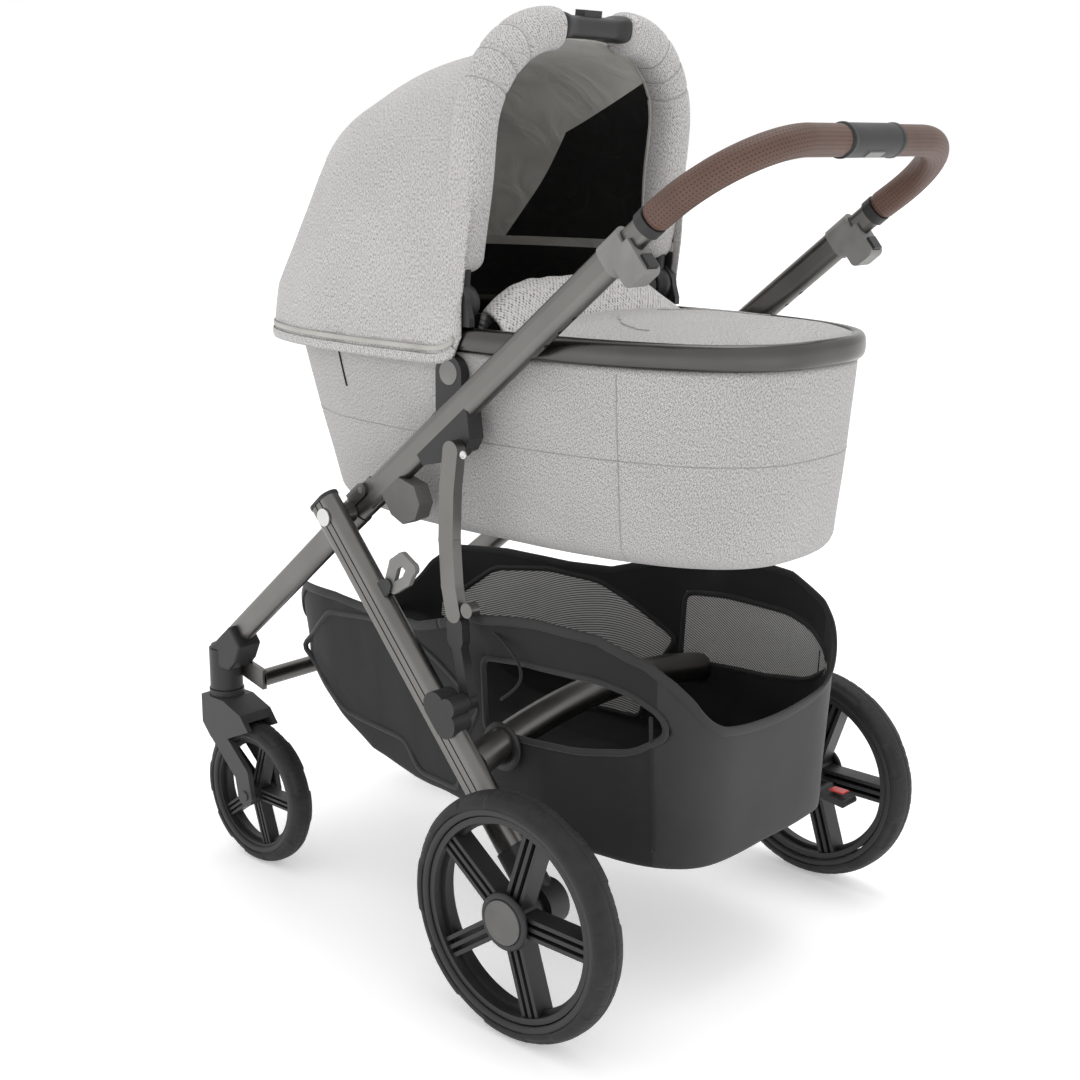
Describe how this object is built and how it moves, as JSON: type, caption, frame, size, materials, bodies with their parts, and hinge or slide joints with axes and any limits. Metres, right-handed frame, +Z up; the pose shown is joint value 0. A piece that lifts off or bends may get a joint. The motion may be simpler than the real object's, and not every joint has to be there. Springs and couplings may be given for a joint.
{
  "type": "baby stroller",
  "caption": "Baby stroller with a hooded fabric bassinet, folding tube frame, telescoping leather grip handle, under basket, swivelling front wheels and large rear wheels.",
  "frame": {"origin": "on the floor, under the middle of the overall length and width", "axes": "+Z up, +Y towards the handle at the back, +X towards the left side of the stroller"},
  "size_m": [0.656, 0.9117, 1.1417],
  "materials": {
    "tube": "satin",
    "dark_plastic": "matte",
    "grey_plastic": "satin",
    "steel": "satin",
    "tyre": "matte",
    "grey_cloth": "matte",
    "black_cloth": "matte",
    "white_cloth": "matte",
    "leather": "satin"
  },
  "bodies": {
    "rear_frame": {"rear_leg_left": "tube", "rear_leg_right": "tube", "rear_leg_caps": "dark_plastic", "rear_axle_tube": "tube", "wheel_mounts": "dark_plastic", "axle_pins": "steel", "strut_brackets": "dark_plastic", "basket_rear": "black_cloth"},
    "front_frame": {"front_leg_left": "tube", "front_leg_right": "tube", "knuckles": "tube", "hinge_pins": "steel", "front_cross_tube": "tube", "caster_sockets": "dark_plastic", "basket_front": "black_cloth"},
    "lock_hook": {"frame_lock_hook": "grey_plastic"},
    "brake": {"brake_pedal": "dark_plastic"},
    "caster_left": {"caster_fork_left": "dark_plastic"},
    "caster_right": {"caster_fork_right": "dark_plastic"},
    "front_wheel_left": {"front_tyre_left": "tyre", "front_rim_left": "dark_plastic"},
    "front_wheel_right": {"front_tyre_right": "tyre", "front_rim_right": "dark_plastic"},
    "rear_wheel_left": {"rear_tyre_left": "tyre", "rear_rim_left": "dark_plastic", "rear_cap_left": "grey_plastic"},
    "rear_wheel_right": {"rear_tyre_right": "tyre", "rear_rim_right": "dark_plastic", "rear_cap_right": "grey_plastic"},
    "upper_frame": {"upper_tube_left": "tube", "upper_tube_right": "tube", "accessory_sockets": "dark_plastic", "seat_mounts": "dark_plastic", "handle_collars": "grey_plastic"},
    "trigger_left": {"fold_trigger_left": "dark_plastic"},
    "trigger_right": {"fold_trigger_right": "dark_plastic"},
    "strut_left": {"side_strut_left": "grey_plastic", "strut_link_left": "dark_plastic"},
    "strut_right": {"side_strut_right": "grey_plastic", "strut_link_right": "dark_plastic"},
    "handlebar": {"handle_bar": "tube", "handle_grip": "leather", "grip_sleeve": "dark_plastic", "detent_buttons": "steel"},
    "handle_button": {"extend_button": "grey_plastic"},
    "bassinet": {"bassinet_shell": "grey_cloth", "bassinet_rim": "tube", "mattress": "white_cloth", "apron": "grey_cloth", "wind_flap": "grey_cloth", "hub_plates": "dark_plastic", "seat_adapters": "dark_plastic"},
    "release_button_left": {"release_left": "grey_plastic"},
    "release_button_right": {"release_right": "grey_plastic"},
    "canopy": {"carry_handle": "dark_plastic", "canopy_roll": "grey_cloth", "canopy_hood": "grey_cloth"},
    "carry_handle_button": {"carry_button": "dark_plastic"},
    "canopy_button_left": {"hub_button_left": "grey_plastic"},
    "canopy_button_right": {"hub_button_right": "grey_plastic"}
  },
  "joints": [
    {"name": "frame_fold", "type": "hinge", "parent": "front_frame", "child": "upper_frame", "pos_m": [0, -0.09904, 0.57432], "axis": [1, 0, 0], "range_deg": [0, 135]},
    {"name": "leg_fold", "type": "hinge", "parent": "rear_frame", "child": "front_frame", "pos_m": [0, -0.11805, 0.54463], "axis": [1, 0, 0], "range_deg": [0, 40], "deforming": ["basket_front"]},
    {"name": "strut_swing_left", "type": "hinge", "parent": "rear_frame", "child": "strut_left", "pos_m": [0, 0.09272, 0.3503], "axis": [1, 0, 0], "range_deg": [0, 25]},
    {"name": "strut_swing_right", "type": "hinge", "parent": "rear_frame", "child": "strut_right", "pos_m": [0, 0.09272, 0.3503], "axis": [1, 0, 0], "range_deg": [0, 25]},
    {"name": "bassinet_lift", "type": "slide", "parent": "rear_frame", "child": "bassinet", "axis": [0, 0, 1], "range_m": [0, 0.107]},
    {"name": "handle_slide", "type": "slide", "parent": "upper_frame", "child": "handlebar", "axis": [0, 0.7749, 0.632], "range_m": [0, 0.0762]},
    {"name": "canopy_swing", "type": "hinge", "parent": "bassinet", "child": "canopy", "pos_m": [0, 0.02595, 0.806], "axis": [1, 0, 0], "range_deg": [0, 60], "deforming": ["canopy_hood"]},
    {"name": "hook_swing", "type": "hinge", "parent": "rear_frame", "child": "lock_hook", "pos_m": [0, -0.01634, 0.47677], "axis": [1, 0, 0], "range_deg": [0, 25]},
    {"name": "brake_rock", "type": "hinge", "parent": "rear_frame", "child": "brake", "pos_m": [0, 0.27391, 0.142], "axis": [1, 0, 0], "range_deg": [-10, 10]},
    {"name": "caster_swivel_left", "type": "hinge", "parent": "front_frame", "child": "caster_left", "pos_m": [0.2, -0.42009, 0.232], "axis": [0, 0, 1], "continuous": true},
    {"name": "caster_swivel_right", "type": "hinge", "parent": "front_frame", "child": "caster_right", "pos_m": [-0.2, -0.42009, 0.232], "axis": [0, 0, 1], "continuous": true},
    {"name": "front_spin_left", "type": "hinge", "parent": "caster_left", "child": "front_wheel_left", "pos_m": [0.2, -0.35409, 0.1015], "axis": [1, 0, 0], "continuous": true},
    {"name": "front_spin_right", "type": "hinge", "parent": "caster_right", "child": "front_wheel_right", "pos_m": [-0.2, -0.35409, 0.1015], "axis": [1, 0, 0], "continuous": true},
    {"name": "rear_spin_left", "type": "hinge", "parent": "rear_frame", "child": "rear_wheel_left", "pos_m": [0.305, 0.22991, 0.146], "axis": [1, 0, 0], "continuous": true},
    {"name": "rear_spin_right", "type": "hinge", "parent": "rear_frame", "child": "rear_wheel_right", "pos_m": [-0.305, 0.22991, 0.146], "axis": [1, 0, 0], "continuous": true},
    {"name": "trigger_slide_left", "type": "slide", "parent": "upper_frame", "child": "trigger_left", "axis": [0, 0.7749, 0.632], "range_m": [0, 0.006], "stiffness_N_per_m": 400},
    {"name": "trigger_slide_right", "type": "slide", "parent": "upper_frame", "child": "trigger_right", "axis": [0, 0.7749, 0.632], "range_m": [0, 0.006], "stiffness_N_per_m": 400},
    {"name": "handle_button_press", "type": "slide", "parent": "handlebar", "child": "handle_button", "axis": [0, -0.5793, 0.8151], "range_m": [0, 0.0025], "stiffness_N_per_m": 400},
    {"name": "release_press_left", "type": "slide", "parent": "bassinet", "child": "release_button_left", "axis": [-1, 0, 0], "range_m": [0, 0.002], "stiffness_N_per_m": 400},
    {"name": "release_press_right", "type": "slide", "parent": "bassinet", "child": "release_button_right", "axis": [1, 0, 0], "range_m": [0, 0.002], "stiffness_N_per_m": 400},
    {"name": "carry_button_press", "type": "slide", "parent": "canopy", "child": "carry_handle_button", "axis": [0, -0.1045, -0.9945], "range_m": [0, 0.003], "stiffness_N_per_m": 400},
    {"name": "canopy_press_left", "type": "slide", "parent": "canopy", "child": "canopy_button_left", "axis": [1, 0, 0], "range_m": [0, 0.0025], "stiffness_N_per_m": 400},
    {"name": "canopy_press_right", "type": "slide", "parent": "canopy", "child": "canopy_button_right", "axis": [-1, 0, 0], "range_m": [0, 0.0025], "stiffness_N_per_m": 400}
  ],
  "couplings": [
    {"joint": "leg_fold", "follows": "frame_fold", "ratio": 0.2963},
    {"joint": "strut_swing_left", "follows": "frame_fold", "ratio": 0.18518},
    {"joint": "strut_swing_right", "follows": "frame_fold", "ratio": 0.18518},
    {"joint": "bassinet_lift", "follows": "frame_fold", "m_per_rad": 0.045}
  ]
}
